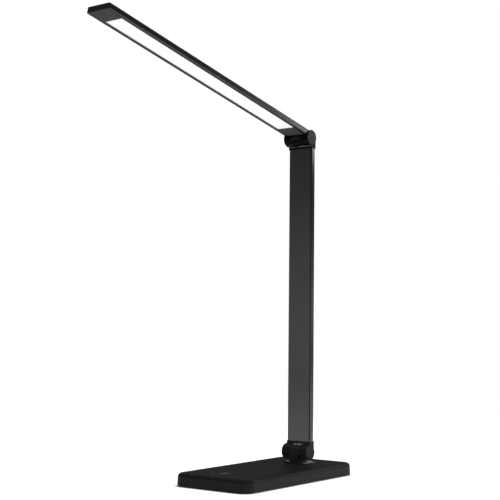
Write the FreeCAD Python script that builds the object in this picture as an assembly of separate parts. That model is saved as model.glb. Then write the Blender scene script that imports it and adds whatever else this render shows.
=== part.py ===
import FreeCAD, Part
import math
import os

# Base: a rounded rectangular foot, its cover closed below by a plate that carries a non-slip pad
base_w = 98.8
base_d = 191.5
shell_h = 12.75
base_corner_r = 12.8
base_draft = 0.6
base_edge_r = 4.0
cover_wall = 2.2
cover_top_t = 2.2
plate_t = 2.0
plate_gap = 0.15
pad_t = 1.6
pad_proud = 1.0
pad_margin = 5.0
pad_gap = 0.15

# Countersunk screws that draw the plate up to four bosses in the cover, hidden by the pad
boss_inset = 11.0
boss_r = 3.2
base_screw_r = 1.3
base_screw_head_r = 2.5
base_screw_head_h = 1.1
base_screw_l = 7.0
screw_gap = 0.05

# Steel ballast on the plate, and the hinge post that stands on it
ballast_t = 4.0
ballast_side_gap = 5.5
ballast_boss_gap = 1.3
ballast_corner_r = 6.0
post_inset = 38.85
flange_w = 38.0
flange_d = 32.0
flange_corner_r = 4.0
post_window_gap = 0.2
post_rim_r = 0.5
post_screw_inset = 6.0
post_screw_r = 1.5
post_screw_head_r = 2.8
post_screw_head_h = 1.6
post_screw_spare = 0.5

# Low seat moulded in the cover round the post
seat_w = 26.0
seat_margin = 3.0
seat_h = 1.0
seat_corner_r = 3.0
seat_edge_r = 0.6

# Coaxial power inlet in the rear wall, with its centre pin
jack_w = 9.2
jack_l = 14.0
jack_gap = 0.05
jack_notch_gap = 2.0
nose_r = 3.4
nose_gap = 0.1
nose_recess = 0.3
socket_r = 2.85
socket_depth = 9.5
inlet_pin_r = 1.0
inlet_pin_recess = 0.8
inlet_pin_tail_r = 0.8
inlet_pin_tail_l = 2.5
inlet_pin_gap = 0.02

# Touch board near the front edge, on its insulating film, with a foam pad under each touch mark
board_w = 70.0
board_d = 26.0
board_t = 1.2
board_corner_r = 1.5
board_front_gap = 16.5
film_t = 0.3
touch_pad_r = 4.5
touch_pad_pitch = 11.0
touch_pad_shift = 9.5

# Two-core leads and the channels that hold them
lead_r = 1.1
lead_float = 0.1
lead_bend_r = 8.0
lead_lane_gap = 7.0
post_bend_r = 5.0
channel_r = 1.5
lead_gap = 0.5

# Arm: a flat rounded tube between two hinge axes
arm_l = 350.0
arm_w = 31.1
arm_t = 7.5
arm_wall = 1.2
arm_corner_r = 1.8
arm_lean_deg = 0.87

# Knuckles: the fork at each end of the arm and the barrel that it holds
knuckle_r = 8.5
knuckle_gap = 3.0
collar_proud = 0.4
collar_h = 3.25
fork_blend_r = 1.5
fork_rim_r = 0.8
slot_gap = 0.4
bridge_drop = 0.55
tenon_l = 12.0
tenon_gap = 0.1

# Friction hinge: hollow threaded pivot, friction washers, spring washer, lock nut and end caps
pivot_r = 4.0
pivot_bore_r = 2.7
pivot_fit = 0.05
pivot_flange_r = 6.4
pivot_flange_t = 2.0
pivot_tail = 0.15
window_w = 5.0
window_past_axis = 1.0
window_turn_lower_deg = -23.0
window_turn_upper_deg = -90.0
ear_wall = 2.7
washer_t = 0.75
washer_play = 0.05
washer_rim_gap = 0.75
spring_t = 0.6
spring_rim_gap = 0.7
nut_t = 3.0
nut_across_flats = 12.0
pocket_gap = 0.3
cap_t = 2.1
cap_gap = 0.3
cap_fit = 0.08
cap_proud = 0.7
cap_edge_r = 0.5

# Head: an extruded channel that holds the light from below
head_l = 327.5
head_w = 30.1
head_t = 6.1
head_corner_r = 0.9
head_wall = 1.0
head_top_wall = 1.0
head_pitch_deg = 14.2
fold_gap = 1.3
lip_w = 3.7
lip_t = 1.4
neck_end = 27.3
neck_gap = 0.45
tip_plate_l = 20.8
tip_cap_t = 2.0
tip_corner_r = 1.6
slide_gap = 0.1

# Light: opal diffuser, light guide and reflector, lit from both long edges
diffuser_flange_t = 1.0
diffuser_recess = 1.15
reflector_t = 0.5
led_board_t = 1.0
led_depth = 0.8
led_l = 3.0
led_h = 1.6
led_pitch = 12.0
guide_gap = 0.1

# One overrun serves every cut that has to pass a face
overrun = 1.0

quarter_turn_deg = 90.0
half_turn_deg = 180.0

V = FreeCAD.Vector
ORIGIN = V(0, 0, 0)
X_AXIS = V(1, 0, 0)
Y_AXIS = V(0, 1, 0)
Z_AXIS = V(0, 0, 1)

# Levels and places in the base
plate_top = pad_proud + plate_t
base_top = pad_proud + shell_h
ceiling = base_top - cover_top_t
ballast_top = plate_top + ballast_t
inner_w = base_w - 2 * (base_draft + cover_wall)
inner_d = base_d - 2 * (base_draft + cover_wall)
inner_corner_r = base_corner_r - base_draft - cover_wall
boss_x = base_w / 2 - boss_inset
boss_y = base_d / 2 - boss_inset
hinge_y = base_d / 2 - post_inset
hinge_z = base_top + knuckle_gap + knuckle_r
jack_back = inner_d / 2
jack_front = jack_back - jack_l
jack_z = (plate_top + ceiling) / 2
nose_face = base_d / 2 - base_draft * (jack_z - pad_proud) / shell_h - nose_recess
socket_floor = nose_face - socket_depth
pin_tail_end = socket_floor - inlet_pin_tail_l
board_y = -base_d / 2 + board_front_gap + board_d / 2
board_back = board_y + board_d / 2
board_top = ballast_top + film_t + board_t
lead_z = ballast_top + lead_r + lead_float

# Places across the knuckle, from the outer end of an ear to the tongue in the middle
fork_w = arm_w + 2 * collar_proud
cap_in = fork_w / 2 - cap_t
cap_face = fork_w / 2 + cap_proud
pocket_floor = cap_in - cap_gap - nut_t - spring_t
ear_in = pocket_floor - ear_wall
tongue_w = 2 * (ear_in - washer_t - washer_play)
nut_corner_r = nut_across_flats / 2 / math.cos(math.pi / 6)
pocket_r = nut_corner_r + pocket_gap
lead_x = (pocket_floor + cap_in) / 2

# Places along and through the arm and the head, measured from a hinge axis
arm_mid = knuckle_r - collar_proud - arm_t / 2
collar_front = arm_mid - arm_t / 2 - collar_proud
tube_start = knuckle_r + collar_h
head_bottom = fold_gap - collar_front
head_mid = head_bottom + head_t / 2
lip_top = head_bottom + lip_t
head_ceiling = head_bottom + head_t - head_top_wall
head_inner_w = head_w - 2 * head_wall
head_slot_w = head_w - 2 * lip_w
housing_end = head_l - tip_cap_t
light_end = head_l - tip_plate_l
diffuser_top = lip_top + diffuser_flange_t
guide_top = head_ceiling - reflector_t
guide_w = head_inner_w - 2 * (led_board_t + led_depth + guide_gap)
guide_start = neck_end + led_board_t + guide_gap


def block(x0, x1, y0, y1, z0, z1):
    return Part.makeBox(x1 - x0, y1 - y0, z1 - z0, V(x0, y0, z0))


def middle_block(w, y0, y1, z0, z1):
    return block(-w / 2, w / 2, y0, y1, z0, z1)


def rod_x(r, x0, x1, y=0, z=0):
    return Part.makeCylinder(r, x1 - x0, V(x0, y, z), X_AXIS)


def rod_y(r, y0, y1, x, z):
    return Part.makeCylinder(r, y1 - y0, V(x, y0, z), Y_AXIS)


def rod_z(r, x, y, z0, z1):
    return Part.makeCylinder(r, z1 - z0, V(x, y, z0), Z_AXIS)


def ring_x(r_out, r_in, x0, x1):
    return rod_x(r_out, x0, x1).cut(rod_x(r_in, x0, x1))


def outline(segments):
    return Part.Wire([segment.toShape() for segment in segments])


def rounded_outline(w, d, r, z, y_mid=0):
    """Rectangle w by d with rounded corners, at height z, centred on y_mid."""
    x = w / 2
    y = d / 2
    slack = r * (1 - math.cos(math.pi / 4))
    segments = []
    corners = ((1, -1), (1, 1), (-1, 1), (-1, -1))
    ends = []
    for sx, sy in corners:
        along_y = V(sx * x, y_mid + sy * (y - r), z)
        along_x = V(sx * (x - r), y_mid + sy * y, z)
        middle = V(sx * (x - slack), y_mid + sy * (y - slack), z)
        ends.append((along_x, middle, along_y) if sx * sy < 0 else (along_y, middle, along_x))
    for index, (first, middle, last) in enumerate(ends):
        following = ends[(index + 1) % len(ends)][0]
        segments.append(Part.Arc(first, middle, last))
        segments.append(Part.LineSegment(last, following))
    return outline(segments)


def rounded_slab(w, d, r, z0, z1, y_mid=0):
    return Part.Face(rounded_outline(w, d, r, z0, y_mid)).extrude(V(0, 0, z1 - z0))


def countersunk_screw(x, y, z, r, head_r, head_h, length):
    """Screw that points up from z, with its flat head level with z."""
    head = Part.makeCone(head_r, r, head_h, V(x, y, z), Z_AXIS)
    return head.fuse(rod_z(r, x, y, z, z + length)).removeSplitter()


def lead(points, r, bend_r):
    """Round lead along straight runs that tangent arcs of bend_r join."""
    segments = []
    start = points[0]
    for before, corner, after in zip(points, points[1:], points[2:]):
        inward = (corner - before).normalize()
        outward = (after - corner).normalize()
        half_turn = inward.getAngle(outward) / 2
        setback = bend_r * math.tan(half_turn)
        bend_start = corner - inward * setback
        bend_end = corner + outward * setback
        to_centre = (outward - inward).normalize()
        centre = corner + to_centre * (bend_r / math.cos(half_turn))
        segments.append(Part.LineSegment(start, bend_start))
        segments.append(Part.Arc(bend_start, centre - to_centre * bend_r, bend_end))
        start = bend_end
    segments.append(Part.LineSegment(start, points[-1]))
    section = Part.Wire(Part.Circle(points[0], points[1] - points[0], r).toShape())
    return outline(segments).makePipeShell([section], True, False)


def rim_edges(shape, half_width):
    """Edges that lie in the two flat ends at x = -half_width and x = half_width."""
    return [edge for edge in shape.Edges if edge.BoundBox.XLength < half_width
            and all(math.isclose(abs(vertex.X), half_width) for vertex in edge.Vertexes)]


def edges_off_level(edges, z):
    return [edge for edge in edges if not all(math.isclose(vertex.Z, z) for vertex in edge.Vertexes)]


corner_signs = [(sx, sy) for sx in (-1, 1) for sy in (-1, 1)]
boss_places = [(sx * boss_x, sy * boss_y) for sx, sy in corner_signs]
post_screw_x = flange_w / 2 - post_screw_inset
post_screw_y = flange_d / 2 - post_screw_inset
post_screw_places = [(sx * post_screw_x, hinge_y + sy * post_screw_y) for sx, sy in corner_signs]


# Moulded top cover: drafted walls, rounded top edge, four bosses, low seat round the post, inlet opening
def base_top_cover():
    foot = rounded_outline(base_w, base_d, base_corner_r, pad_proud)
    crown = rounded_outline(base_w - 2 * base_draft, base_d - 2 * base_draft,
                            base_corner_r - base_draft, base_top)
    shell = Part.makeLoft([foot, crown], True, True)
    top_edges = [e for e in shell.Edges if all(math.isclose(v.Z, base_top) for v in e.Vertexes)]
    shell = shell.makeFillet(base_edge_r, top_edges)
    seat_d = 2 * (knuckle_r + seat_margin)
    seat = rounded_slab(seat_w, seat_d, seat_corner_r, ceiling, base_top + seat_h, hinge_y)
    seat_edges = [e for e in seat.Edges if all(math.isclose(v.Z, base_top + seat_h) for v in e.Vertexes)]
    shell = shell.fuse(seat.makeFillet(seat_edge_r, seat_edges))
    shell = shell.cut(rounded_slab(inner_w, inner_d, inner_corner_r, pad_proud - overrun, ceiling))
    for x, y in boss_places:
        shell = shell.fuse(rod_z(boss_r, x, y, plate_top, ceiling + cover_top_t / 2))
    for x, y in boss_places:
        shell = shell.cut(rod_z(base_screw_r + screw_gap, x, y, plate_top - overrun,
                                pad_t + base_screw_l + screw_gap))
    half_depth = knuckle_r + post_window_gap
    shell = shell.cut(middle_block(tongue_w + 2 * post_window_gap, hinge_y - half_depth,
                                   hinge_y + half_depth, ceiling - overrun, base_top + seat_h + overrun))
    shell = shell.cut(rod_y(nose_r + nose_gap, jack_back - overrun, base_d / 2 + overrun, 0, jack_z))
    return shell.removeSplitter()


# Closing plate with a shallow recess for the pad and countersunk screw holes
plate_w = inner_w - 2 * plate_gap
plate_d = inner_d - 2 * plate_gap
plate_corner_r = inner_corner_r - plate_gap
pad_w = plate_w - 2 * pad_margin
pad_d = plate_d - 2 * pad_margin
pad_corner_r = plate_corner_r - pad_margin


def base_bottom_plate():
    plate = rounded_slab(plate_w, plate_d, plate_corner_r, pad_proud, plate_top)
    plate = plate.cut(rounded_slab(pad_w + 2 * pad_gap, pad_d + 2 * pad_gap, pad_corner_r + pad_gap,
                                   pad_proud - overrun, pad_t))
    for x, y in boss_places:
        plate = plate.cut(countersunk_screw(x, y, pad_t, base_screw_r + screw_gap,
                                            base_screw_head_r + screw_gap, base_screw_head_h, plate_t))
    return plate


def non_slip_pad():
    return rounded_slab(pad_w, pad_d, pad_corner_r, 0, pad_t)


def base_screws():
    return Part.makeCompound([
        countersunk_screw(x, y, pad_t, base_screw_r, base_screw_head_r, base_screw_head_h, base_screw_l)
        for x, y in boss_places])


# Steel plate that keeps the lamp from tipping, notched for the inlet and drilled for the post screws
ballast_w = inner_w - 2 * ballast_side_gap
ballast_d = 2 * (boss_y - boss_r - ballast_boss_gap)
post_screw_l = ceiling - plate_top - post_screw_spare


def ballast_plate():
    plate = rounded_slab(ballast_w, ballast_d, ballast_corner_r, plate_top, ballast_top)
    plate = plate.cut(middle_block(jack_w + 2 * jack_notch_gap, jack_front - jack_notch_gap,
                                   base_d / 2, plate_top - overrun, ballast_top + overrun))
    for x, y in post_screw_places:
        plate = plate.cut(countersunk_screw(x, y, plate_top, post_screw_r + screw_gap,
                                            post_screw_head_r + screw_gap, post_screw_head_h,
                                            ballast_t + overrun))
    return plate


def post_screws():
    return Part.makeCompound([
        countersunk_screw(x, y, plate_top, post_screw_r, post_screw_head_r, post_screw_head_h, post_screw_l)
        for x, y in post_screw_places])


# Hinge post: a flanged foot under the cover and a round-topped tongue that rises through it
def base_hinge_post():
    left = -tongue_w / 2
    front_foot = V(left, hinge_y - knuckle_r, ballast_top)
    front = V(left, hinge_y - knuckle_r, hinge_z)
    crown = V(left, hinge_y, hinge_z + knuckle_r)
    back = V(left, hinge_y + knuckle_r, hinge_z)
    back_foot = V(left, hinge_y + knuckle_r, ballast_top)
    side = outline([Part.LineSegment(front_foot, front), Part.Arc(front, crown, back),
                    Part.LineSegment(back, back_foot), Part.LineSegment(back_foot, front_foot)])
    tongue = Part.Face(side).extrude(V(tongue_w, 0, 0))
    tongue = tongue.makeFillet(post_rim_r, edges_off_level(rim_edges(tongue, tongue_w / 2), ballast_top))
    post = tongue.fuse(rounded_slab(flange_w, flange_d, flange_corner_r, ballast_top, ceiling, hinge_y))
    post = post.cut(rod_x(pivot_r + pivot_fit, -tongue_w, tongue_w, hinge_y, hinge_z))
    for x, y in post_screw_places:
        post = post.cut(rod_z(post_screw_r + screw_gap, x, y, ballast_top - overrun, ceiling + overrun))
    channel = [V(0, hinge_y - flange_d / 2 - overrun, lead_z), V(0, hinge_y, lead_z), V(0, hinge_y, hinge_z)]
    return post.cut(lead(channel, channel_r, post_bend_r)).removeSplitter()


# Power inlet: body inside the rear wall, round nose through it, open socket round a centre pin
def power_inlet():
    body = middle_block(jack_w, jack_front, jack_back, plate_top + jack_gap, ceiling - jack_gap)
    jack = body.fuse(rod_y(nose_r, jack_back - overrun, nose_face, 0, jack_z))
    jack = jack.cut(rod_y(socket_r, socket_floor, nose_face + overrun, 0, jack_z))
    tail_hole = rod_y(inlet_pin_tail_r + inlet_pin_gap, pin_tail_end, nose_face, 0, jack_z)
    return jack.cut(tail_hole).removeSplitter()


def inlet_pin():
    pin = rod_y(inlet_pin_r, socket_floor, nose_face - inlet_pin_recess, 0, jack_z)
    return pin.fuse(rod_y(inlet_pin_tail_r, pin_tail_end, socket_floor, 0, jack_z))


# Touch electronics between the ballast and the underside of the cover
def insulating_film():
    return rounded_slab(board_w, board_d, board_corner_r, ballast_top, ballast_top + film_t, board_y)


def control_board():
    return rounded_slab(board_w, board_d, board_corner_r, ballast_top + film_t, board_top, board_y)


def touch_pads():
    places = [-touch_pad_shift + side * touch_pad_pitch / 2 for side in (-1, 1)]
    return Part.makeCompound([rod_z(touch_pad_r, x, board_y, board_top, ceiling) for x in places])


# Leads in the base: from the inlet to the board, and from the board up into the hinge post
def supply_lead():
    lane_x = flange_w / 2 + lead_lane_gap
    jack_y = (jack_front + jack_back) / 2
    route = [V(jack_w / 2, jack_y, lead_z), V(lane_x, jack_y, lead_z), V(lane_x, board_back, lead_z)]
    return lead(route, lead_r, lead_bend_r)


def post_lead():
    route = [V(0, board_back, lead_z), V(0, hinge_y, lead_z), V(0, hinge_y, hinge_z - pivot_r - lead_gap)]
    return lead(route, lead_r, post_bend_r)


# Fork moulding, the same at both ends of the arm: two ears, a collar and a tenon for the tube
def fork():
    left = -fork_w / 2
    blend_y = collar_front - fork_blend_r
    blend_z = math.sqrt((knuckle_r + fork_blend_r) ** 2 - blend_y ** 2)
    blend_turn = math.atan2(-blend_z, -blend_y) / 2
    blend_middle = V(left, blend_y + fork_blend_r * math.cos(blend_turn),
                     blend_z + fork_blend_r * math.sin(blend_turn))
    reach = knuckle_r / (knuckle_r + fork_blend_r)
    round_turn = (math.atan2(blend_z, blend_y) + 2 * math.pi) / 2
    collar_top = V(left, collar_front, tube_start)
    blend_top = V(left, collar_front, blend_z)
    round_start = V(left, blend_y * reach, blend_z * reach)
    round_middle = V(left, knuckle_r * math.cos(round_turn), knuckle_r * math.sin(round_turn))
    back = V(left, knuckle_r, 0)
    back_top = V(left, knuckle_r, tube_start)
    side = outline([Part.LineSegment(collar_top, blend_top), Part.Arc(blend_top, blend_middle, round_start),
                    Part.Arc(round_start, round_middle, back), Part.LineSegment(back, back_top),
                    Part.LineSegment(back_top, collar_top)])
    body = Part.Face(side).extrude(V(fork_w, 0, 0))
    body = body.makeFillet(fork_rim_r, edges_off_level(rim_edges(body, fork_w / 2), tube_start))
    far = knuckle_r + overrun
    slot = middle_block(2 * ear_in, -far, far, -far, knuckle_r - bridge_drop)
    slot = slot.fuse(rod_x(knuckle_r + slot_gap, -ear_in, ear_in))
    slot = slot.fuse(middle_block(2 * ear_in, -far, collar_front, -far, tube_start + overrun))
    body = body.cut(slot)
    inner_gap = 2 * (arm_wall + tenon_gap)
    tenon = rounded_slab(arm_w - inner_gap, arm_t - inner_gap, arm_corner_r - arm_wall,
                         tube_start, tube_start + tenon_l, arm_mid)
    body = body.fuse(tenon)
    body = body.cut(rod_x(pivot_r + pivot_fit, -fork_w, fork_w))
    for side_x in (-1, 1):
        ends = sorted((side_x * pocket_floor, side_x * (fork_w / 2 + overrun)))
        body = body.cut(rod_x(pocket_r, *ends))
        body = body.cut(rod_z(channel_r, side_x * lead_x, arm_mid, 0, tube_start + tenon_l + overrun))
    return body.removeSplitter()


def arm_tube():
    outer = rounded_slab(arm_w, arm_t, arm_corner_r, tube_start, arm_l - tube_start, arm_mid)
    inner = rounded_slab(arm_w - 2 * arm_wall, arm_t - 2 * arm_wall, arm_corner_r - arm_wall,
                         tube_start - overrun, arm_l - tube_start + overrun, arm_mid)
    return outer.cut(inner)


def arm_lead():
    return rod_z(lead_r, lead_x, arm_mid, pocket_r, arm_l - pocket_r)


# Friction hinge: every piece here turns with the fork, the tongue runs on the pivot tube
nut_in = -pocket_floor - spring_t
nut_out = nut_in - nut_t


def pivot_tube(window_turn_deg):
    tube = rod_x(pivot_r, nut_out - pivot_tail, pocket_floor)
    tube = tube.fuse(rod_x(pivot_flange_r, pocket_floor, pocket_floor + pivot_flange_t))
    tube = tube.cut(rod_x(pivot_bore_r, -fork_w, fork_w))
    far = pivot_r + overrun
    window = middle_block(window_w, -far, far, -far, window_past_axis)
    return tube.cut(window.rotated(ORIGIN, X_AXIS, window_turn_deg)).removeSplitter()


def friction_washers():
    hole_r = pivot_r + pivot_fit
    out_r = knuckle_r - washer_rim_gap
    return Part.makeCompound([ring_x(out_r, hole_r, ear_in - washer_t, ear_in),
                              ring_x(out_r, hole_r, -ear_in, -ear_in + washer_t)])


def spring_washer():
    return ring_x(pocket_r - spring_rim_gap, pivot_r + pivot_fit, nut_in, -pocket_floor)


def lock_nut():
    turns = [index * math.pi / 3 for index in range(6)]
    corners = [V(nut_out, nut_corner_r * math.cos(t), nut_corner_r * math.sin(t)) for t in turns]
    hexagon = Part.Face(Part.makePolygon(corners + corners[:1]))
    return hexagon.extrude(V(nut_t, 0, 0)).cut(rod_x(pivot_r + pivot_fit, -fork_w, fork_w))


def end_caps():
    caps = []
    for side_x in (-1, 1):
        plug_ends = sorted((side_x * cap_in, side_x * fork_w / 2))
        disc_ends = sorted((side_x * fork_w / 2, side_x * cap_face))
        disc = rod_x(knuckle_r, *disc_ends)
        disc = disc.makeFillet(cap_edge_r, rim_edges(disc, cap_face))
        caps.append(disc.fuse(rod_x(pocket_r - cap_fit, *plug_ends)).removeSplitter())
    return Part.makeCompound(caps)


# Neck: round tongue in the upper fork, with a stem that fills the open end of the head channel
tenon_top = head_ceiling - slide_gap


def head_neck():
    tenon = middle_block(head_inner_w - 2 * slide_gap, lip_top + slide_gap, tenon_top, 0, neck_end)
    plate = middle_block(head_slot_w - 2 * slide_gap, head_bottom, tenon_top, 0, neck_end)
    stem = tenon.fuse(plate).cut(rod_x(knuckle_r + neck_gap, -fork_w, fork_w))
    stem = stem.fuse(middle_block(tongue_w, head_bottom, tenon_top, 0, neck_end))
    barrel = rod_x(knuckle_r, -tongue_w / 2, tongue_w / 2)
    barrel = barrel.makeFillet(post_rim_r, rim_edges(barrel, tongue_w / 2))
    neck = barrel.fuse(stem).cut(rod_x(pivot_r + pivot_fit, -tongue_w, tongue_w))
    lead_y = (lip_top + head_ceiling) / 2
    return neck.cut(rod_z(channel_r, 0, lead_y, 0, neck_end + overrun)).removeSplitter()


def head_lead():
    return rod_z(lead_r, 0, (lip_top + head_ceiling) / 2, pivot_r + lead_gap, neck_end)


# Extruded head channel: closed top and sides, two lips below, end hollowed round the knuckle
def head_housing():
    outer = rounded_slab(head_w, head_t, head_corner_r, 0, housing_end, head_mid)
    cavity = middle_block(head_inner_w, lip_top, head_ceiling, -overrun, housing_end + overrun)
    slot = middle_block(head_slot_w, head_bottom - overrun, lip_top + overrun,
                        -overrun, housing_end + overrun)
    return outer.cut(cavity).cut(slot).cut(rod_x(knuckle_r + neck_gap, -fork_w, fork_w))


def head_tip_cap():
    end = rounded_slab(head_w, head_t, head_corner_r, housing_end, head_l, head_mid)
    plan_l = 2 * (tip_cap_t + tip_corner_r)
    plan = rounded_slab(head_w, plan_l, tip_corner_r, -head_bottom - head_t, -head_bottom,
                        head_l - plan_l / 2)
    end = end.common(plan.rotated(ORIGIN, X_AXIS, quarter_turn_deg))
    tenon = middle_block(head_inner_w - 2 * slide_gap, lip_top + slide_gap, tenon_top,
                         light_end, housing_end)
    plate = middle_block(head_slot_w - 2 * slide_gap, head_bottom, tenon_top, light_end, housing_end)
    return end.fuse(tenon).fuse(plate).removeSplitter()


# Light unit: opal cover in the slot, guide plate behind it, reflector against the channel's top
def diffuser():
    rib = middle_block(head_slot_w - 2 * slide_gap, head_bottom + diffuser_recess, lip_top,
                       neck_end, light_end)
    flange = middle_block(guide_w, lip_top, diffuser_top, neck_end, light_end)
    return rib.fuse(flange).removeSplitter()


def light_guide():
    return middle_block(guide_w, diffuser_top, guide_top, guide_start, light_end)


def reflector_sheet():
    return middle_block(guide_w, guide_top, head_ceiling, guide_start, light_end)


def led_board():
    cross = middle_block(head_inner_w, diffuser_top, head_ceiling, neck_end, neck_end + led_board_t)
    strips = middle_block(head_inner_w, lip_top, head_ceiling, neck_end, light_end)
    strips = strips.cut(middle_block(head_inner_w - 2 * led_board_t, lip_top - overrun,
                                     head_ceiling + overrun, neck_end - overrun, light_end + overrun))
    return strips.fuse(cross).removeSplitter()


def led_chips():
    count = int((light_end - guide_start) // led_pitch)
    lit_l = count * led_pitch
    start = (guide_start + light_end - lit_l + led_pitch - led_l) / 2
    mid_y = (diffuser_top + guide_top) / 2
    face_x = head_inner_w / 2 - led_board_t
    chips = []
    for side_x in (-1, 1):
        near, far = sorted((side_x * (face_x - led_depth), side_x * face_x))
        for index in range(count):
            z = start + index * led_pitch
            chips.append(block(near, far, mid_y - led_h / 2, mid_y + led_h / 2, z, z + led_l))
    return Part.makeCompound(chips)


# Placing: the arm leans at the lower axis, the head is raised at the upper axis
lean = math.radians(arm_lean_deg)
lower_axis = V(0, hinge_y, hinge_z)
upper_axis = lower_axis + V(0, arm_l * math.sin(lean), arm_l * math.cos(lean))


def on_arm(shape):
    return shape.rotated(ORIGIN, X_AXIS, -arm_lean_deg).translated(lower_axis)


def on_arm_top(shape):
    return on_arm(shape.rotated(V(0, 0, arm_l / 2), Y_AXIS, half_turn_deg))


def on_head(shape):
    return shape.rotated(ORIGIN, X_AXIS, quarter_turn_deg - head_pitch_deg).translated(upper_axis)


nodes = {
    "non_slip_pad": non_slip_pad(),
    "base_bottom_plate": base_bottom_plate(),
    "base_screws": base_screws(),
    "base_top_cover": base_top_cover(),
    "ballast_plate": ballast_plate(),
    "power_inlet": power_inlet(),
    "inlet_pin": inlet_pin(),
    "insulating_film": insulating_film(),
    "control_board": control_board(),
    "touch_pads": touch_pads(),
    "supply_lead": supply_lead(),
    "post_lead": post_lead(),
    "base_hinge_post": base_hinge_post(),
    "post_screws": post_screws(),
    "lower_fork": on_arm(fork()),
    "lower_pivot_tube": on_arm(pivot_tube(window_turn_lower_deg)),
    "lower_friction_washers": on_arm(friction_washers()),
    "lower_spring_washer": on_arm(spring_washer()),
    "lower_lock_nut": on_arm(lock_nut()),
    "lower_end_caps": on_arm(end_caps()),
    "arm_tube": on_arm(arm_tube()),
    "arm_lead": on_arm(arm_lead()),
    "upper_fork": on_arm_top(fork()),
    "upper_pivot_tube": on_arm_top(pivot_tube(window_turn_upper_deg)),
    "upper_friction_washers": on_arm_top(friction_washers()),
    "upper_spring_washer": on_arm_top(spring_washer()),
    "upper_lock_nut": on_arm_top(lock_nut()),
    "upper_end_caps": on_arm_top(end_caps()),
    "head_neck": on_head(head_neck()),
    "head_housing": on_head(head_housing()),
    "head_tip_cap": on_head(head_tip_cap()),
    "diffuser": on_head(diffuser()),
    "light_guide": on_head(light_guide()),
    "reflector_sheet": on_head(reflector_sheet()),
    "led_board": on_head(led_board()),
    "led_chips": on_head(led_chips()),
    "head_lead": on_head(head_lead()),
}

os.makedirs("parts", exist_ok=True)
for name, shape in nodes.items():
    shape.exportStep("parts/" + name + ".step")
    state = "valid" if shape.isValid() else "not valid"
    print(name, len(shape.Solids), "solids,", round(shape.Volume), "mm3,", state)
print("lower hinge axis", tuple(lower_axis))
print("upper hinge axis", tuple(upper_axis))
print("inlet pin from", socket_floor, "to", nose_face - inlet_pin_recess, "at height", jack_z)
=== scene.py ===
import math

import bpy
from mathutils import Matrix, Vector


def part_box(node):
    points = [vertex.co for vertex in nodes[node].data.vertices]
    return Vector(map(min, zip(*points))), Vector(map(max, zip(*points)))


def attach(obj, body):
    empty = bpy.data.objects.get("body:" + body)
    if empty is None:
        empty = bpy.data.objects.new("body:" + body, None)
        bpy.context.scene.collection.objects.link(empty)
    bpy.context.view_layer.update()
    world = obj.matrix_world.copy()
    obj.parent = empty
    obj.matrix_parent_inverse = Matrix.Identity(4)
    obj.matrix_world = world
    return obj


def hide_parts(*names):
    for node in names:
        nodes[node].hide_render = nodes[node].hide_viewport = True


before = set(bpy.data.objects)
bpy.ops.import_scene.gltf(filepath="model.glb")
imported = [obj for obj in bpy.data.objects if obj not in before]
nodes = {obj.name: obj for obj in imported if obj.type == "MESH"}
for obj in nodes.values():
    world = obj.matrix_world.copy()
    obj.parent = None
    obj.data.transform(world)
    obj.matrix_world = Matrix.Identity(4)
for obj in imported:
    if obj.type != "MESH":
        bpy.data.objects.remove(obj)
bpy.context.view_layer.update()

# Non-slip pad: a sheet of soft black rubber with close rows of low round studs on its under side.
# It is compression moulded in one piece and glued into the shallow recess of the closing plate.
MM = 0.001


class Lay:
    """One socket of a node tree. Sums on it add Math nodes to that tree."""

    def __init__(self, tree, socket=None):
        self.tree = tree
        self.socket = socket

    def node(self, kind, settings=None, sockets=None, output=0):
        made = self.tree.nodes.new(kind)
        for name, value in (settings or {}).items():
            setattr(made, name, value)
        for key, value in (sockets or {}).items():
            for given in value if isinstance(value, list) else [value]:
                if isinstance(given, Lay):
                    self.tree.links.new(given.socket, made.inputs[key])
                else:
                    made.inputs[key].default_value = given
        return Lay(self.tree, made.outputs[output] if made.outputs else None)

    def sum(self, operation, first, second):
        return self.node("ShaderNodeMath", {"operation": operation}, {0: first, 1: second})

    def __add__(self, other):
        return self.sum("ADD", self, other)

    def __sub__(self, other):
        return self.sum("SUBTRACT", self, other)

    def __rsub__(self, other):
        return self.sum("SUBTRACT", other, self)

    def __mul__(self, other):
        return self.sum("MULTIPLY", self, other)

    def __truediv__(self, other):
        return self.sum("DIVIDE", self, other)

    def __gt__(self, other):
        return self.sum("GREATER_THAN", self, other)

    __radd__ = __add__
    __rmul__ = __mul__


def new_finish(name):
    """Empty material, its tree, and the place on the piece that a pattern reads."""
    material = bpy.data.materials.new(name)
    material.use_nodes = True
    material.node_tree.nodes.clear()
    lay = Lay(material.node_tree)
    return material, lay, lay.node("ShaderNodeTexCoord", output="Object")


def close_finish(lay, sockets):
    shader = lay.node("ShaderNodeBsdfPrincipled", None, sockets)
    lay.node("ShaderNodeOutputMaterial", None, {"Surface": shader})


def grey(level):
    return (level, level, level, 1.0)


def blend_of(lay, share, first, second):
    """Colour between first and second, at share of the way."""
    return lay.node("ShaderNodeMix", {"data_type": "RGBA"}, {0: share, 6: first, 7: second}, 2)


def eased(lay, value, low, high):
    """0 where value is under low, 1 where it is over high, and smooth between."""
    return lay.node("ShaderNodeMapRange", {"interpolation_type": "SMOOTHSTEP"}, {
        "Value": value, "From Min": low, "From Max": high})


def speckle(lay, place, size, detail=2.0):
    """Soft random marks about size metres across, from 0 to 1."""
    return lay.node("ShaderNodeTexNoise", None, {"Vector": place, "Scale": 1 / size, "Detail": detail})


def relief_of(lay, height, depth):
    return lay.node("ShaderNodeBump", None, {"Height": height, "Distance": depth, "Strength": 1.0})


def reach_along(lay, place, direction):
    """How far place lies along direction."""
    return lay.node("ShaderNodeVectorMath", {"operation": "DOT_PRODUCT"}, {0: place, 1: direction}, "Value")


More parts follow.
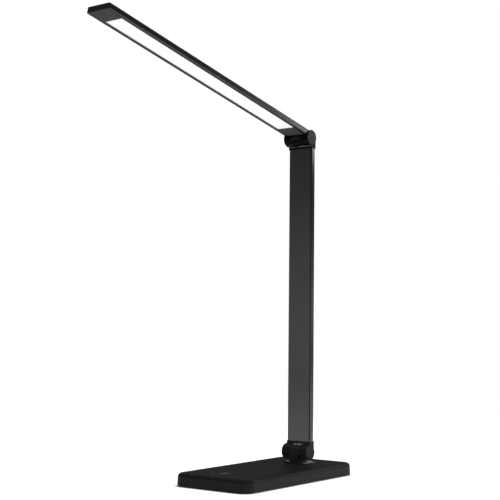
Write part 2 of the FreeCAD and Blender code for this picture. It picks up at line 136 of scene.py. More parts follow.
def worn_edges(lay, width):
    """1 on sharp edges and 0 on flats, from how far the normal turns within width."""
    turned = lay.node("ShaderNodeBevel", {"samples": 6}, {"Radius": width})
    flat = lay.node("ShaderNodeNewGeometry", output="Normal")
    return eased(lay, 1.0 - reach_along(lay, turned, flat), low=0.02, high=0.22)


def past_outline(lay, place, inner, corner):
    """How far place lies outside a rounded box whose straight sides end at inner."""
    folded = lay.node("ShaderNodeVectorMath", {"operation": "ABSOLUTE"}, {0: place})
    reach = lay.node("ShaderNodeVectorMath", {"operation": "SUBTRACT"}, {0: folded, 1: inner})
    reach = lay.node("ShaderNodeVectorMath", {"operation": "MAXIMUM"}, {0: reach, 1: (0.0, 0.0, 0.0)})
    return lay.node("ShaderNodeVectorMath", {"operation": "LENGTH"}, {0: reach}, "Value") - corner


def moulded(name, dark, light, dull, grain, depth, shine, rub=0.0, patch=None):
    """Spark-textured moulding from dark to light, about as rough as dull, rubbed on its edges to rub.
    Inside the box about a patch's middle, and fading out over its rim, it has the patch's colour and
    gloss and is coarser by the given amount."""
    material, lay, place = new_finish(name)
    flow = speckle(lay, place, size=40 * MM, detail=3.0)
    spark = speckle(lay, place, size=grain)
    handled = speckle(lay, place, size=16 * MM, detail=4.0)
    flow_share, spark_share = 0.55, 0.45
    handled_dulls, spark_dulls, rub_shines = 0.16, 0.06, 0.12
    colour = blend_of(lay, flow * flow_share + spark * spark_share, dark, light)
    rough = handled * handled_dulls + spark * spark_dulls + (dull - (handled_dulls + spark_dulls) / 2)
    if rub:
        scuffed = eased(lay, speckle(lay, place, size=5 * MM, detail=4.0), low=0.35, high=0.7)
        edge = worn_edges(lay, width=0.7 * MM) * scuffed
        colour = blend_of(lay, edge, colour, grey(rub))
        rough = rough - edge * rub_shines
    gloss = 0.0
    if patch:
        offset = lay.node("ShaderNodeVectorMath", {"operation": "SUBTRACT"}, {0: place, 1: patch["middle"]})
        past_patch = past_outline(lay, offset, patch["half"], corner=0.0)
        inside = 1.0 - eased(lay, past_patch, low=0.0, high=patch["rim"])
        gloss = inside * patch["gloss"]
        colour = blend_of(lay, inside, colour, patch["colour"])
        rough = rough + inside * patch["coarser"]
    close_finish(lay, {
        "Base Color": colour,
        "Roughness": rough,
        "Normal": relief_of(lay, spark, depth),
        "Specular IOR Level": shine,
        "Coat Weight": gloss,
        "Coat Roughness": 0.12,
    })
    return material


def new_tree(name, sizes):
    """Geometry tree with one named length for each of sizes, and the geometry that it starts from."""
    tree = bpy.data.node_groups.new(name, "GeometryNodeTree")
    tree.interface.new_socket("Geometry", in_out="INPUT", socket_type="NodeSocketGeometry")
    for size in sizes:
        tree.interface.new_socket(size, in_out="INPUT", socket_type="NodeSocketFloat")
    tree.interface.new_socket("Geometry", in_out="OUTPUT", socket_type="NodeSocketGeometry")
    start = tree.nodes.new("NodeGroupInput")
    return Lay(tree), {socket.name: Lay(tree, socket) for socket in start.outputs if socket.name}


def joined(lay, *shapes):
    return lay.node("GeometryNodeJoinGeometry", None, {0: list(shapes)})


def moved(lay, shape, x=0.0, y=0.0, z=0.0):
    place = lay.node("ShaderNodeCombineXYZ", None, {0: x, 1: y, 2: z})
    return lay.node("GeometryNodeTransform", None, {"Geometry": shape, "Translation": place})


def close_tree(lay, shape, material):
    whole = lay.node("GeometryNodeRealizeInstances", None, {0: shape})
    coated = lay.node("GeometryNodeSetMaterial", None, {"Geometry": whole, "Material": material})
    lay.node("NodeGroupOutput", None, {0: coated})


def grown(name, lay, sizes, points=((0.0, 0.0, 0.0),)):
    """Plain mesh piece that the tree makes from points and the named sizes."""
    start = bpy.data.meshes.new(name)
    start.from_pydata(points, [], [])
    piece = bpy.data.objects.new(name, start)
    bpy.context.scene.collection.objects.link(piece)
    growth = piece.modifiers.new(name, "NODES")
    growth.node_group = lay.tree
    for item in lay.tree.interface.items_tree:
        if item.in_out == "INPUT" and item.name in sizes:
            growth[item.identifier] = sizes[item.name]
    graph = bpy.context.evaluated_depsgraph_get()
    made = bpy.data.meshes.new_from_object(piece.evaluated_get(graph), depsgraph=graph)
    piece.modifiers.clear()
    piece.data = made
    made.name = name
    return piece


pad_rubber = moulded("pad_rubber", grey(0.022), grey(0.040), dull=0.78, grain=0.5 * MM, depth=0.05 * MM,
                     shine=0.25)
pad_low, pad_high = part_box("non_slip_pad")
pad_sizes = {"Width": pad_high.x - pad_low.x, "Depth": pad_high.y - pad_low.y, "Corner": 4.85 * MM,
             "Thickness": pad_high.z - pad_low.z, "Stud pitch": 4.2 * MM, "Stud radius": 1.3 * MM,
             "Stud height": 0.6 * MM}
weld = 0.01 * MM
stud_clear_share = 1.4
stud_tip_share = 0.7
stud_sunk_share = 1.2
lay, size = new_tree("grip_pad", pad_sizes)
rim = lay.node("GeometryNodeCurvePrimitiveQuadrilateral", None, {
    "Width": size["Width"], "Height": size["Depth"]})
rim = lay.node("GeometryNodeFilletCurve", {"mode": "POLY"}, {
    "Curve": rim, "Count": 8, "Radius": size["Corner"]})
face = lay.node("GeometryNodeFillCurve", {"mode": "NGONS"}, {"Curve": rim})
face = moved(lay, face, z=size["Stud height"])
slab = lay.node("GeometryNodeExtrudeMesh", {"mode": "FACES"}, {
    "Mesh": face, "Offset": (0.0, 0.0, 1.0), "Offset Scale": size["Thickness"] - size["Stud height"],
    "Individual": False})
under = lay.node("GeometryNodeFlipFaces", None, {"Mesh": face})
slab = lay.node("GeometryNodeMergeByDistance", None, {
    "Geometry": joined(lay, slab, under), "Distance": weld})
row_gap = size["Stud pitch"] * math.sqrt(3)
rows = lay.node("GeometryNodeMeshGrid", None, {
    "Size X": size["Width"], "Size Y": size["Depth"],
    "Vertices X": size["Width"] / size["Stud pitch"] + 1.0, "Vertices Y": size["Depth"] / row_gap + 1.0})
rows = joined(lay, rows, moved(lay, rows, x=size["Stud pitch"] * 0.5, y=row_gap * 0.5))
inner = lay.node("ShaderNodeCombineXYZ", None, {
    0: size["Width"] * 0.5 - size["Corner"], 1: size["Depth"] * 0.5 - size["Corner"]})
place = lay.node("GeometryNodeInputPosition")
outside = past_outline(lay, place, inner, size["Corner"]) + size["Stud radius"] * stud_clear_share
rows = lay.node("GeometryNodeDeleteGeometry", {"domain": "POINT"}, {
    "Geometry": rows, "Selection": outside > 0.0})
stud = lay.node("GeometryNodeMeshCone", {"fill_type": "NGON"}, {
    "Vertices": 8, "Radius Top": size["Stud radius"], "Radius Bottom": size["Stud radius"] * stud_tip_share,
    "Depth": size["Stud height"] * stud_sunk_share})
studs = lay.node("GeometryNodeInstanceOnPoints", None, {"Points": rows, "Instance": stud})
close_tree(lay, joined(lay, slab, studs), pad_rubber)
grip_pad = grown("grip_pad", lay, pad_sizes)
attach(grip_pad, "base")
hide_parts("non_slip_pad")


def dress(material, *names):
    for name in names:
        for slot in nodes[name].material_slots:
            slot.material = material


plate_moulding = moulded("plate_moulding", grey(0.008), grey(0.018), dull=0.55, grain=0.6 * MM,
                         depth=0.03 * MM, shine=0.3, rub=0.05)
dress(plate_moulding, "base_bottom_plate")


# Base screws: four countersunk cross-recess screws, zinc plated, that draw the plate up to the bosses
# of the cover. Their heads lie level in the plate and the pad is glued over them.
def plated(name, dark, light, dull, lines_along):
    """Metal with faint tool lines, stretched by lines_along, and dull patches."""
    material, lay, place = new_finish(name)
    drawn = lay.node("ShaderNodeMapping", None, {"Vector": place, "Scale": lines_along})
    lines = speckle(lay, drawn, size=1.0)
    patches = speckle(lay, place, size=9 * MM, detail=3.0)
    line_share, patch_share = 0.5, 0.5
    patch_dulls = 0.2
    close_finish(lay, {
        "Base Color": blend_of(lay, lines * line_share + patches * patch_share, dark, light),
        "Metallic": 1.0,
        "Roughness": patches * patch_dulls + (dull - patch_dulls / 2),
        "Normal": relief_of(lay, lines, depth=0.01 * MM),
    })
    return material


screw_zinc = plated("screw_zinc", (0.46, 0.48, 0.50, 1.0), (0.62, 0.64, 0.66, 1.0), dull=0.32,
                    lines_along=(2500.0, 2500.0, 2500.0))
screw_sizes = ("Head radius", "Head height", "Shank radius", "Length", "Thread pitch")
recess_long_share, recess_wide_share, recess_deep_share = 1.3, 0.3, 1.2
ridge_share = 0.3
bare_turns = 0.6
screw_tree, size = new_tree("countersunk_screw", screw_sizes)
lay = screw_tree
head = lay.node("GeometryNodeMeshCone", {"fill_type": "NGON"}, {
    "Vertices": 24, "Radius Top": size["Shank radius"], "Radius Bottom": size["Head radius"],
    "Depth": size["Head height"]})
blades = []
for along, across in ((recess_long_share, recess_wide_share), (recess_wide_share, recess_long_share)):
    box = lay.node("ShaderNodeCombineXYZ", None, {
        0: size["Head radius"] * along, 1: size["Head radius"] * across,
        2: size["Head height"] * recess_deep_share})
    blades.append(lay.node("GeometryNodeMeshCube", None, {"Size": box}))
head = lay.node("GeometryNodeMeshBoolean", {"operation": "DIFFERENCE", "solver": "EXACT"}, {
    "Mesh 1": head, "Mesh 2": blades})
core = size["Shank radius"] - size["Thread pitch"] * ridge_share
shank = lay.node("GeometryNodeMeshCylinder", {"fill_type": "NGON"}, {
    "Vertices": 16, "Radius": core, "Depth": size["Length"] - size["Head height"]})
shank = moved(lay, shank, z=(size["Length"] + size["Head height"]) * 0.5)
turns = (size["Length"] - size["Head height"]) / size["Thread pitch"] - bare_turns
helix = lay.node("GeometryNodeCurveSpiral", None, {
    "Resolution": 14, "Rotations": turns, "Start Radius": core, "End Radius": core,
    "Height": turns * size["Thread pitch"]})
ridge = lay.node("GeometryNodeCurvePrimitiveCircle", {"mode": "RADIUS"}, {
    "Resolution": 3, "Radius": size["Thread pitch"] * ridge_share})
thread = lay.node("GeometryNodeCurveToMesh", None, {
    "Curve": helix, "Profile Curve": ridge, "Fill Caps": True})
thread = moved(lay, thread, z=size["Head height"])
screws = lay.node("GeometryNodeInstanceOnPoints", None, {
    "Points": size["Geometry"], "Instance": joined(lay, head, shank, thread)})
close_tree(lay, screws, screw_zinc)


def driven_screws(name, node, head_radius, head_height, shank_radius, pitch):
    """The four screws of a node, in the corners of its box."""
    low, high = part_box(node)
    corners = [(x, y, low.z) for x in (low.x + head_radius, high.x - head_radius)
               for y in (low.y + head_radius, high.y - head_radius)]
    lengths = (head_radius, head_height, shank_radius, high.z - low.z, pitch)
    piece = grown(name, screw_tree, dict(zip(screw_sizes, lengths)), corners)
    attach(piece, "base")
    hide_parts(node)


driven_screws("plate_screws", "base_screws", head_radius=2.5 * MM, head_height=1.1 * MM,
              shank_radius=1.3 * MM, pitch=0.7 * MM)

# Ballast: a plate cut from cold rolled steel that keeps the lamp from tipping over. It lies on the
# closing plate, and four screws through it, countersunk from below, hold the foot of the post.
ballast_steel = plated("ballast_steel", grey(0.30), grey(0.46), dull=0.42,
                       lines_along=(1800.0, 30.0, 1800.0))
dress(ballast_steel, "ballast_plate")
driven_screws("foot_screws", "post_screws", head_radius=2.8 * MM, head_height=1.6 * MM,
              shank_radius=1.5 * MM, pitch=0.7 * MM)


# Touch electronics: a green masked board on amber film, held up to the cover by two foam pads.
# The pads are cut from black conductive foam and carry the touch through to the board.
def masked_board(name, mask, track, pitch):
    """Circuit board whose tracks show as a faint relief under the mask."""
    material, lay, place = new_finish(name)
    gap_share, run_share = 0.35, 5
    track_share, weave_share = 0.7, 0.3
    runs = lay.node("ShaderNodeTexBrick", {"offset": 0.5}, {
        "Vector": place, "Scale": 1.0, "Color1": grey(1.0), "Color2": grey(0.6), "Mortar": grey(0.0),
        "Mortar Size": pitch * gap_share, "Brick Width": pitch * run_share, "Row Height": pitch})
    tracks = lay.node("ShaderNodeRGBToBW", None, {0: runs})
    weave = speckle(lay, place, size=0.4 * MM)
    close_finish(lay, {
        "Base Color": blend_of(lay, tracks * track_share + weave * weave_share, mask, track),
        "Roughness": weave * 0.12 + 0.26,
        "Normal": relief_of(lay, runs, depth=0.03 * MM),
        "Specular IOR Level": 0.5,
    })
    return material


board_mask = masked_board("board_mask", (0.008, 0.060, 0.022, 1.0), (0.020, 0.115, 0.045, 1.0),
                          pitch=1.6 * MM)
dress(board_mask, "control_board")

film_amber, lay, place = new_finish("film_amber")
ripple = speckle(lay, place, size=6 * MM, detail=3.0)
close_finish(lay, {
    "Base Color": blend_of(lay, ripple, (0.42, 0.17, 0.02, 1.0), (0.58, 0.29, 0.05, 1.0)),
    "Roughness": ripple * 0.15 + 0.16,
    "Normal": relief_of(lay, ripple, depth=0.1 * MM),
})
dress(film_amber, "insulating_film")

pad_foam, lay, place = new_finish("pad_foam")
cell_size = 0.55 * MM
cells = lay.node("ShaderNodeTexVoronoi", None, {"Vector": place, "Scale": 1 / cell_size})
close_finish(lay, {
    "Base Color": blend_of(lay, cells, grey(0.015), grey(0.075)),
    "Roughness": cells * 0.1 + 0.85,
    "Normal": relief_of(lay, cells, depth=0.2 * MM),
})
dress(pad_foam, "touch_pads")

# Leads: soft black two-core leads that lie in the base and run through the hollow hinges.
# Their jackets are extruded, so they are smooth with a few dull rubs.
lead_jacket = moulded("lead_jacket", grey(0.018), grey(0.040), dull=0.5, grain=0.8 * MM, depth=0.02 * MM,
                      shine=0.35)
dress(lead_jacket, "supply_lead", "post_lead", "arm_lead", "head_lead")

# Power inlet: a glossy black moulding in the rear wall with a round socket for a coaxial plug.
# A plated brass pin stands in the middle of the socket.
inlet_moulding = moulded("inlet_moulding", grey(0.006), grey(0.014), dull=0.3, grain=0.5 * MM,
                         depth=0.01 * MM, shine=0.5)
dress(inlet_moulding, "power_inlet")
pin_plating = plated("pin_plating", (0.58, 0.44, 0.20, 1.0), (0.78, 0.64, 0.34, 1.0), dull=0.28,
                     lines_along=(900.0, 60.0, 900.0))
dress(pin_plating, "inlet_pin")


# Hinge post: a zinc casting with a flanged foot and a round-topped tongue, powder coated black. Two
# pairs of screws hold its foot to the ballast, and the tongue stands up through the cover. The thin pale
# glossy line along the top of the tongue is a painted highlight.
def middle_of(name):
    low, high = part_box(name)
    return (low + high) / 2


lower_axis = middle_of("lower_end_caps")
# Pale grey glossy strip along the top of the tongue: a painted highlight.
tongue_painted_highlight = {
    "middle": lower_axis + Vector((0.0, -1.0 * MM, 8.5 * MM)),
    "half": (5 * MM, 1.2 * MM, 0.5 * MM),
    "rim": 0.6 * MM,
    "colour": grey(0.45),
    "gloss": 1.0,
    "coarser": 0.0,
}
post_coat = moulded("post_coat", grey(0.008), grey(0.015), dull=0.42, grain=0.7 * MM, depth=0.05 * MM,
                    shine=0.26, rub=0.03, patch=tongue_painted_highlight)
dress(post_coat, "base_hinge_post")

# Top cover: one moulding in black plastic with drafted walls, a rounded top edge and a fine dull
# texture. It closes round the inlet behind and round the post, with a low seat there whose lighter
# glossy patch is a painted highlight.
# Lighter grey glossy patch on the seat round the post: a painted highlight.
seat_painted_highlight = {
    "middle": lower_axis + Vector((1.5 * MM, 2.1 * MM, 0.0)),
    "half": (13 * MM, 8 * MM, 1.0),
    "rim": 3.5 * MM,
    "colour": grey(0.09),
    "gloss": 1.0,
    "coarser": 0.0,
}
cover_moulding = moulded("cover_moulding", grey(0.004), grey(0.0075), dull=0.5, grain=0.45 * MM,
                         depth=0.02 * MM, shine=0.24, rub=0.028, patch=seat_painted_highlight)
dress(cover_moulding, "base_top_cover")

# Touch marks: a thin ring and a small dot, printed in grey ink on the cover over the touch pads.
# The ink stands a few hundredths of a millimetre proud.
mark_ink = moulded("mark_ink", grey(0.21), grey(0.27), dull=0.5, grain=0.3 * MM, depth=0.01 * MM, shine=0.3)
mark_sizes = {"Ring radius": 3.65 * MM, "Line width": 0.8 * MM, "Ink height": 0.08 * MM,
              "Dot radius": 1.0 * MM, "Dot across": -9.2 * MM, "Dot along": -7.35 * MM}
lay, size = new_tree("touch_marks", mark_sizes)
path = lay.node("GeometryNodeCurvePrimitiveCircle", {"mode": "RADIUS"}, {
    "Resolution": 64, "Radius": size["Ring radius"]})
section = lay.node("GeometryNodeCurvePrimitiveQuadrilateral", None, {
    "Width": size["Line width"], "Height": size["Ink height"]})
ring = lay.node("GeometryNodeCurveToMesh", None, {"Curve": path, "Profile Curve": section})
dot = lay.node("GeometryNodeMeshCylinder", {"fill_type": "NGON"}, {
    "Vertices": 32, "Radius": size["Dot radius"], "Depth": size["Ink height"]})
dot = moved(lay, dot, x=size["Dot across"], y=size["Dot along"])
marks = lay.node("GeometryNodeInstanceOnPoints", None, {
    "Points": size["Geometry"], "Instance": joined(lay, ring, dot)})
close_tree(lay, marks, mark_ink)
seat_rise = 1.0 * MM
ring_across = -4.0 * MM
ring_along = -66.25 * MM
cover_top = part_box("base_top_cover")[1].z - seat_rise
touch_marks = grown("touch_marks", lay, mark_sizes, [(ring_across, ring_along, cover_top)])
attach(touch_marks, "base")

# Knuckle forks: glass-filled black mouldings, the same at both ends of the arm. Each has two ears, a
# collar a little proud of the arm tube, and a tenon glued into the tube. The lower ears are painted
# lighter below as painted bounce light. The upper fork is painted darker as painted shade under the
# head, and its pale glossy ledge where the ears meet the collar is a painted highlight.
upper_axis = middle_of("upper_end_caps")
# Lighter grey on the lower half of the lower ears: painted bounce light.
ears_painted_light = {
    "middle": lower_axis - Vector((0.0, 0.0, 10.25 * MM)),
    "half": (20 * MM, 12 * MM, 4 * MM),
    "rim": 6 * MM,
    "colour": grey(0.07),
    "gloss": 0.0,
    "coarser": 0.1,
}
lower_moulding = moulded("lower_moulding", grey(0.008), grey(0.012), dull=0.36, grain=0.4 * MM,
                         depth=0.02 * MM, shine=0.18, rub=0.018, patch=ears_painted_light)
dress(lower_moulding, "lower_fork")
# Pale glossy band where the upper ears meet the collar: a painted highlight.
ledge_painted_highlight = {
    "middle": upper_axis - Vector((0.0, 0.0, 9.21 * MM)),
    "half": (15 * MM, 12 * MM, 0.4 * MM),
    "rim": 0.6 * MM,
    "colour": grey(0.05),
    "gloss": 0.6,
    "coarser": 0.1,
}
# The upper fork is painted darker and less shiny than the lower one: painted shade under the head.
shaded_upper_moulding = moulded("shaded_upper_moulding", grey(0.001), grey(0.003), dull=0.3, grain=0.4 * MM,
                         depth=0.01 * MM, shine=0.05, rub=0.018, patch=ledge_painted_highlight)
dress(shaded_upper_moulding, "upper_fork")

# Friction hinges: a hollow steel pivot, dark fibre washers against the tongue, a spring washer and a
# lock nut that sets the grip. All of it is hidden by the end caps.
pivot_steel = plated("pivot_steel", grey(0.42), grey(0.60), dull=0.30, lines_along=(60.0, 1800.0, 1800.0))
dress(pivot_steel, "lower_pivot_tube", "upper_pivot_tube", "lower_spring_washer", "upper_spring_washer")
dress(screw_zinc, "lower_lock_nut", "upper_lock_nut")
washer_fibre = moulded("washer_fibre", (0.030, 0.022, 0.016, 1.0), (0.075, 0.060, 0.045, 1.0), dull=0.7,
                       grain=0.35 * MM, depth=0.04 * MM, shine=0.2)
dress(washer_fibre, "lower_friction_washers", "upper_friction_washers")

# End caps: satin black moulded discs pressed into the ears, as wide as the knuckle.
# They stand a little proud of the fork, with a rounded rim.
cap_moulding = moulded("cap_moulding", grey(0.006), grey(0.011), dull=0.42, grain=0.35 * MM,
                       depth=0.02 * MM, shine=0.155, rub=0.04)
dress(cap_moulding, "lower_end_caps", "upper_end_caps")


# Arm tube: a flat rounded aluminium extrusion, brushed along its length and anodised black.
# The film is even on the flats and a little thinner and brighter along the corners.
def anodised(name, turn, dark, light, rub, dull):
    """Black anodised extrusion with fine brush lines along its length, turned about X from upright."""
    material, lay, place = new_finish(name)
    upright = lay.node("ShaderNodeMapping", None, {"Vector": place, "Rotation": (turn, 0.0, 0.0)})
    fine = lay.node("ShaderNodeMapping", None, {"Vector": upright, "Scale": (5000.0, 5000.0, 30.0)})
    wide = lay.node("ShaderNodeMapping", None, {"Vector": upright, "Scale": (500.0, 500.0, 6.0)})
    lines = speckle(lay, fine, size=1.0)
    bands = speckle(lay, wide, size=1.0)
    patches = speckle(lay, place, size=30 * MM, detail=3.0)
    scuffed = eased(lay, speckle(lay, place, size=6 * MM, detail=4.0), low=0.4, high=0.75)
    edge = worn_edges(lay, width=0.5 * MM) * scuffed
    line_share, band_share, patch_share = 0.4, 0.3, 0.3
    line_dulls, patch_dulls = 0.08, 0.06
    colour = blend_of(lay, lines * line_share + bands * band_share + patches * patch_share, dark, light)
    close_finish(lay, {
        "Base Color": blend_of(lay, edge, colour, rub),
        "Metallic": 0.94,
        "Roughness": lines * line_dulls + patches * patch_dulls + dull,
        "Normal": relief_of(lay, lines, depth=0.003 * MM),
        "Specular Tint": grey(0.25),
    })
    return material


arm_lean = math.radians(0.87)
film_dark, film_light, film_rubbed = grey(0.084), grey(0.121), grey(0.2)
arm_anodised = anodised("arm_anodised", arm_lean, film_dark, film_light, film_rubbed, dull=0.07)
dress(arm_anodised, "arm_tube")

# Head: a thin anodised channel of the same make, open below, a little duller. A moulded neck turns in
# the upper knuckle and ends in a dull grey plate, and a moulded cap closes the far end.
head_pitch = math.radians(14.2)
head_turn = math.pi / 2 - head_pitch
head_anodised = anodised("head_anodised", -head_turn, film_dark, film_light, film_rubbed, dull=0.15)
dress(head_anodised, "head_housing")
tip_moulding = moulded("tip_moulding", grey(0.004), grey(0.008), dull=0.42, grain=0.4 * MM,
                       depth=0.015 * MM, shine=0.32, rub=0.02)
dress(tip_moulding, "head_tip_cap")
head_along = Vector((0.0, -math.sin(head_turn), math.cos(head_turn)))
neck_plate = {
    "middle": upper_axis + 20 * MM * head_along,
    "half": (16 * MM, 9.5 * MM, 20 * MM),
    "rim": 2 * MM,
    "colour": grey(0.085),
    "gloss": 0.0,
    "coarser": 0.3,
}
# The neck is painted near black and barely shiny, like the upper fork: painted shade under the head.
shaded_neck_moulding = moulded("shaded_neck_moulding", grey(0.001), grey(0.003), dull=0.3, grain=0.4 * MM,
                        depth=0.01 * MM, shine=0.05, rub=0.016, patch=neck_plate)
dress(shaded_neck_moulding, "head_neck")

# Light unit: a U-shaped white masked board with a row of chips along each edge, a clear guide plate,
# a white reflector sheet above it and an opal cover below, which glows evenly when the lamp is on.
strip_mask = masked_board("strip_mask", (0.62, 0.62, 0.60, 1.0), (0.78, 0.78, 0.76, 1.0), pitch=2.0 * MM)
dress(strip_mask, "led_board")

led_case, lay, place = new_finish("led_case")
grit = speckle(lay, place, size=0.15 * MM)
coated = lay.node("ShaderNodeAttribute", {"attribute_name": "phosphor"}, output="Fac")
yellow = blend_of(lay, grit, (0.85, 0.62, 0.10, 1.0), (0.95, 0.78, 0.22, 1.0))
white = blend_of(lay, grit, grey(0.74), grey(0.84))
close_finish(lay, {
    "Base Color": blend_of(lay, coated, white, yellow),
    "Roughness": grit * 0.2 + 0.35,
    "Normal": relief_of(lay, grit, depth=0.01 * MM),
})

led_sizes = {"Depth": 0.8 * MM, "Height": 1.6 * MM, "Length": 3.0 * MM}
window_depth_share, window_height_share, window_length_share = 0.1, 0.72, 0.8
lay, size = new_tree("led_row", led_sizes)
whole = lay.node("ShaderNodeCombineXYZ", None, {0: size["Depth"], 1: size["Height"], 2: size["Length"]})
window = lay.node("ShaderNodeCombineXYZ", None, {
    0: size["Depth"] * window_depth_share, 1: size["Height"] * window_height_share,
    2: size["Length"] * window_length_share})
shapes = []
for extent, shift_share, level in ((whole, 0.0, 0.0), (window, -0.5, 1.0)):
    brick = lay.node("GeometryNodeMeshCube", None, {"Size": extent})
    brick = moved(lay, brick, x=size["Depth"] * shift_share)
    shapes.append(lay.node("GeometryNodeStoreNamedAttribute", {"data_type": "FLOAT", "domain": "FACE"}, {
        "Geometry": brick, "Name": "phosphor", "Value": level}))
across = lay.node("ShaderNodeSeparateXYZ", None, {0: lay.node("GeometryNodeInputPosition")}, "X")
left = 0.0 - across > 0.0
facing = lay.node("ShaderNodeCombineXYZ", None, {0: head_turn - left * (2 * head_turn), 1: left * math.pi})
chips = lay.node("GeometryNodeInstanceOnPoints", None, {
    "Points": size["Geometry"], "Instance": joined(lay, *shapes), "Rotation": facing})
close_tree(lay, chips, led_case)
leds_a_side = 23
led_pitch = 12.0 * MM
led_first = 35.55 * MM
led_side = 12.65 * MM
led_level = 4.6 * MM
raised = Matrix.Translation(upper_axis) @ Matrix.Rotation(head_turn, 4, "X")
led_places = [raised @ Vector((side * led_side, led_level, led_first + index * led_pitch))
              for side in (-1, 1) for index in range(leds_a_side)]
led_row = grown("led_row", lay, led_sizes, led_places)
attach(led_row, "head")
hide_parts("led_chips")

guide_acrylic, lay, place = new_finish("guide_acrylic")
dot_pitch = 1.4 * MM
dots = lay.node("ShaderNodeTexVoronoi", None, {"Vector": place, "Scale": 1 / dot_pitch, "Randomness": 0.2})
close_finish(lay, {
    "Base Color": blend_of(lay, dots, grey(0.92), (0.84, 0.88, 0.90, 1.0)),
    "Roughness": dots * 0.2 + 0.08,
    "Normal": relief_of(lay, dots, depth=0.05 * MM),
})
dress(guide_acrylic, "light_guide")
sheet_white = moulded("sheet_white", grey(0.86), grey(0.92), dull=0.6, grain=0.4 * MM, depth=0.01 * MM,
                      shine=0.3)
dress(sheet_white, "reflector_sheet")

opal_lit, lay, place = new_finish("opal_lit")
cloud = speckle(lay, place, size=25 * MM)
frost = speckle(lay, place, size=0.8 * MM)
close_finish(lay, {
    "Base Color": blend_of(lay, frost, grey(0.72), grey(0.78)),
    "Roughness": frost * 0.2 + 0.35,
    "Normal": relief_of(lay, frost, depth=0.01 * MM),
    "Emission Color": blend_of(lay, cloud, grey(0.93), grey(1.0)),
    "Emission Strength": 0.56,
})
dress(opal_lit, "diffuser")


# Studio: a pale floor under soft lamps, white behind. What mirrors in the lamp is a bright low wall
# behind on the right, pale floor, a dark camera side and a dim room elsewhere.
# The camera stands where the photo was taken from.
def ray_kinds(lay):
    """1 for rays that the camera sees, straight or through a clear piece, and 1 for mirrored rays."""
    straight = lay.node("ShaderNodeLightPath", output="Is Camera Ray")
    through = lay.node("ShaderNodeLightPath", output="Is Transmission Ray")
    mirrored = lay.node("ShaderNodeLightPath", output="Is Glossy Ray")
    return lay.sum("MAXIMUM", straight, through), mirrored


floor_half = 6.0
floor_mesh = bpy.data.meshes.new("floor")
floor_mesh.from_pydata([(-floor_half, -floor_half, 0), (floor_half, -floor_half, 0),
                        (floor_half, floor_half, 0), (-floor_half, floor_half, 0)], [], [(0, 1, 2, 3)])
floor = bpy.data.objects.new("floor", floor_mesh)
bpy.context.scene.collection.objects.link(floor)

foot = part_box("base_top_cover")[1]
foot_corner = 12.8 * MM
seen_glow, mirrored_glow = 0.6, 0.22
right_loss, beside_gain = 0.2, 0.38
camera_side = (0.61, -0.79, 0.0)
camera_wings = (0.79, 0.61, 0.0)
camera_reach = 0.3
floor_white, lay, place = new_finish("floor_white")
seen, mirrored = ray_kinds(lay)
reach = lay.node("ShaderNodeVectorMath", {"operation": "LENGTH"}, {0: place}, "Value")
far = eased(lay, reach, low=0.5, high=1.2)
across = lay.node("ShaderNodeSeparateXYZ", None, {0: place}, "X")
rightward = eased(lay, across, low=-0.35, high=0.55)
beside = eased(lay, across, low=0.02, high=0.07) * (1.0 - eased(lay, across, low=0.15, high=0.45))
past_foot = past_outline(lay, place, (foot.x - foot_corner, foot.y - foot_corner, 0.0), foot_corner)
clear_floor = eased(lay, past_foot, low=-1.0 * MM, high=4.0 * MM)
reflected = mirrored * (mirrored_glow - rightward * right_loss + beside * beside_gain)
glow = clear_floor * (seen * seen_glow + reflected)
matt = lay.node("ShaderNodeBsdfDiffuse", None, {"Color": grey(0.6)})
light = lay.node("ShaderNodeEmission", None, {"Color": grey(1.0), "Strength": glow})
near_floor = lay.node("ShaderNodeAddShader", None, {0: matt, 1: light})
white = lay.node("ShaderNodeEmission", None, {"Color": grey(1.0), "Strength": 1.0})
whole = lay.node("ShaderNodeMixShader", None, {0: far * seen, 1: near_floor, 2: white})
to_camera = reach_along(lay, place, camera_side)
aside = lay.node("ShaderNodeMath", {"operation": "ABSOLUTE"}, {0: reach_along(lay, place, camera_wings)})
aside = aside / (to_camera + camera_reach)
dark_side = eased(lay, to_camera, low=0.2, high=0.32) * (1.0 - eased(lay, aside, low=0.5, high=0.9))
unlit = lay.node("ShaderNodeEmission", None, {"Color": grey(1.0), "Strength": 0.1})
whole = lay.node("ShaderNodeMixShader", None, {0: dark_side * mirrored, 1: whole, 2: unlit})
clear = lay.node("ShaderNodeBsdfTransparent")
under = lay.node("ShaderNodeNewGeometry", output="Backfacing")
below = (1.0 - eased(lay, past_foot, low=-2.0 * MM, high=0.0)) * (1.0 - seen)
whole = lay.node("ShaderNodeMixShader", None, {0: lay.sum("MAXIMUM", under, below), 1: whole, 2: clear})
lay.node("ShaderNodeOutputMaterial", None, {"Surface": whole})
floor_mesh.materials.append(floor_white)

wall_side = (0.6, 0.8, 0.0)
back_side = (-0.6, 0.8, 0.0)
wall_light, haze_light, backdrop_light, overhead_light, room_light = 0.56, 0.4, 0.2, 0.2, 0.22
high_shade, front_shade, back_dim, wall_dim = 0.1, 0.1, 0.06, 0.09
ambient = 0.35
world = bpy.data.worlds.new("studio")
bpy.context.scene.world = world
world.use_nodes = True
world.node_tree.nodes.clear()
lay = Lay(world.node_tree)
seen, mirrored = ray_kinds(lay)
heading = lay.node("ShaderNodeTexCoord", output="Generated")
height = lay.node("ShaderNodeSeparateXYZ", None, {0: heading}, "Z")
to_wall = reach_along(lay, heading, wall_side)
behind = reach_along(lay, heading, back_side)
wall = (1.0 - eased(lay, height, low=0.0, high=0.075)) * eased(lay, to_wall, low=0.35, high=0.95)
haze = (1.0 - eased(lay, height, low=-0.05, high=0.2)) * eased(lay, 0.0 - to_wall, low=0.3, high=0.95)
backdrop = (1.0 - eased(lay, height, low=0.1, high=0.18)) * eased(lay, behind, low=0.7, high=0.95)
overhead = eased(lay, height, low=0.4, high=0.85)
shade = (eased(lay, height, low=0.02, high=0.2) * high_shade
         + eased(lay, 0.0 - behind, low=0.3, high=0.9) * front_shade)
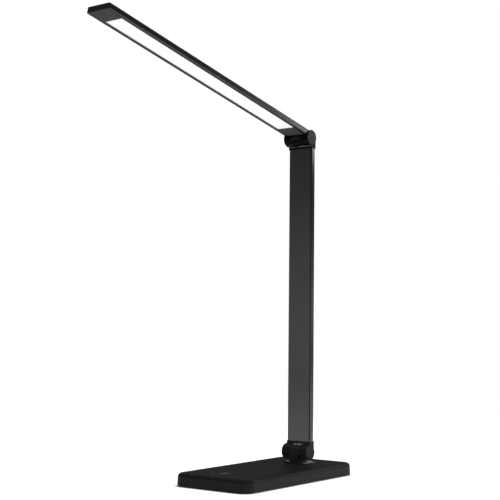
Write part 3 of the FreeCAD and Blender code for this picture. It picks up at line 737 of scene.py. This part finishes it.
over_wall = eased(lay, to_wall, low=0.5, high=0.9) * eased(lay, height, low=0.03, high=0.1)
dim = eased(lay, behind, low=0.3, high=0.9) * back_dim + over_wall * wall_dim
bright = wall * wall_light + haze * haze_light + backdrop * backdrop_light + overhead * overhead_light
room = bright + room_light - shade - dim
strength = seen + (1.0 - seen) * (mirrored * room + (1.0 - mirrored) * ambient)
back = lay.node("ShaderNodeBackground", None, {"Color": grey(1.0), "Strength": strength})
lay.node("ShaderNodeOutputWorld", None, {"Surface": back})


def softbox(name, place, aim, width, height, power, mirrored=False):
    lamp = bpy.data.lights.new(name, "AREA")
    lamp.shape = "RECTANGLE"
    lamp.size = width
    lamp.size_y = height
    lamp.energy = power
    holder = bpy.data.objects.new(name, lamp)
    bpy.context.scene.collection.objects.link(holder)
    direction = Vector(aim) - Vector(place)
    turn = direction.to_track_quat("-Z", "Y").to_matrix().to_4x4()
    holder.matrix_world = Matrix.Translation(place) @ turn
    holder.visible_glossy = mirrored
    holder.visible_camera = False


softbox("key_right", place=(1.7, 0.5, 0.9), aim=(0.0, 0.0, 0.2), width=1.4, height=1.2, power=36.0)
softbox("top_soft", place=(0.0, 0.1, 2.0), aim=(0.0, 0.0, 0.2), width=1.6, height=1.6, power=20.0)
softbox("edge_panel", place=(0.425, 1.007, 0.57), aim=(0.0, 0.06, 0.38), width=0.44, height=0.16,
        power=1.15, mirrored=True)

film_width = 36.0
focal_pixels = 1176.28
picture_pixels = 500
camera_rise = math.radians(3.195)
camera_heading = math.radians(38.414)
camera_data = bpy.data.cameras.new("photo_camera")
camera_data.sensor_width = film_width
camera_data.sensor_fit = "HORIZONTAL"
camera_data.lens = film_width * focal_pixels / picture_pixels
camera = bpy.data.objects.new("photo_camera", camera_data)
bpy.context.scene.collection.objects.link(camera)
camera.location = (0.77547, -1.00661, 0.17581)
camera.rotation_euler = (math.pi / 2 + camera_rise, 0.0, camera_heading)
bpy.context.scene.camera = camera
bpy.context.scene.view_settings.view_transform = "Standard"
